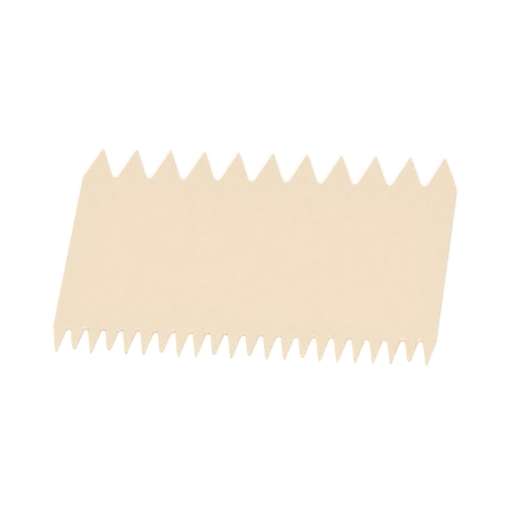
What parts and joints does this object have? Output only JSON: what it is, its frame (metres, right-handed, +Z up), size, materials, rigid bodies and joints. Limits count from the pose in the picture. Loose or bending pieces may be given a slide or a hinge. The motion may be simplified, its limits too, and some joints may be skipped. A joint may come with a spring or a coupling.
{
  "type": "cake comb",
  "caption": "Flat rectangular plastic icing comb with coarse pointed teeth along one long edge and fine pointed teeth along the other, for drawing ridges in icing.",
  "frame": {"origin": "centre of the underside, midway between the sides and midway between the two rows of tips", "axes": "+X along the long edges, +Y towards the coarse teeth, +Z up out of the upper face of the comb as it lies flat"},
  "size_m": [0.1088, 0.072, 0.0015],
  "materials": {
    "ivory_plastic": "satin moulded"
  },
  "bodies": {
    "root": {"comb_blade": "ivory_plastic"}
  },
  "joints": []
}
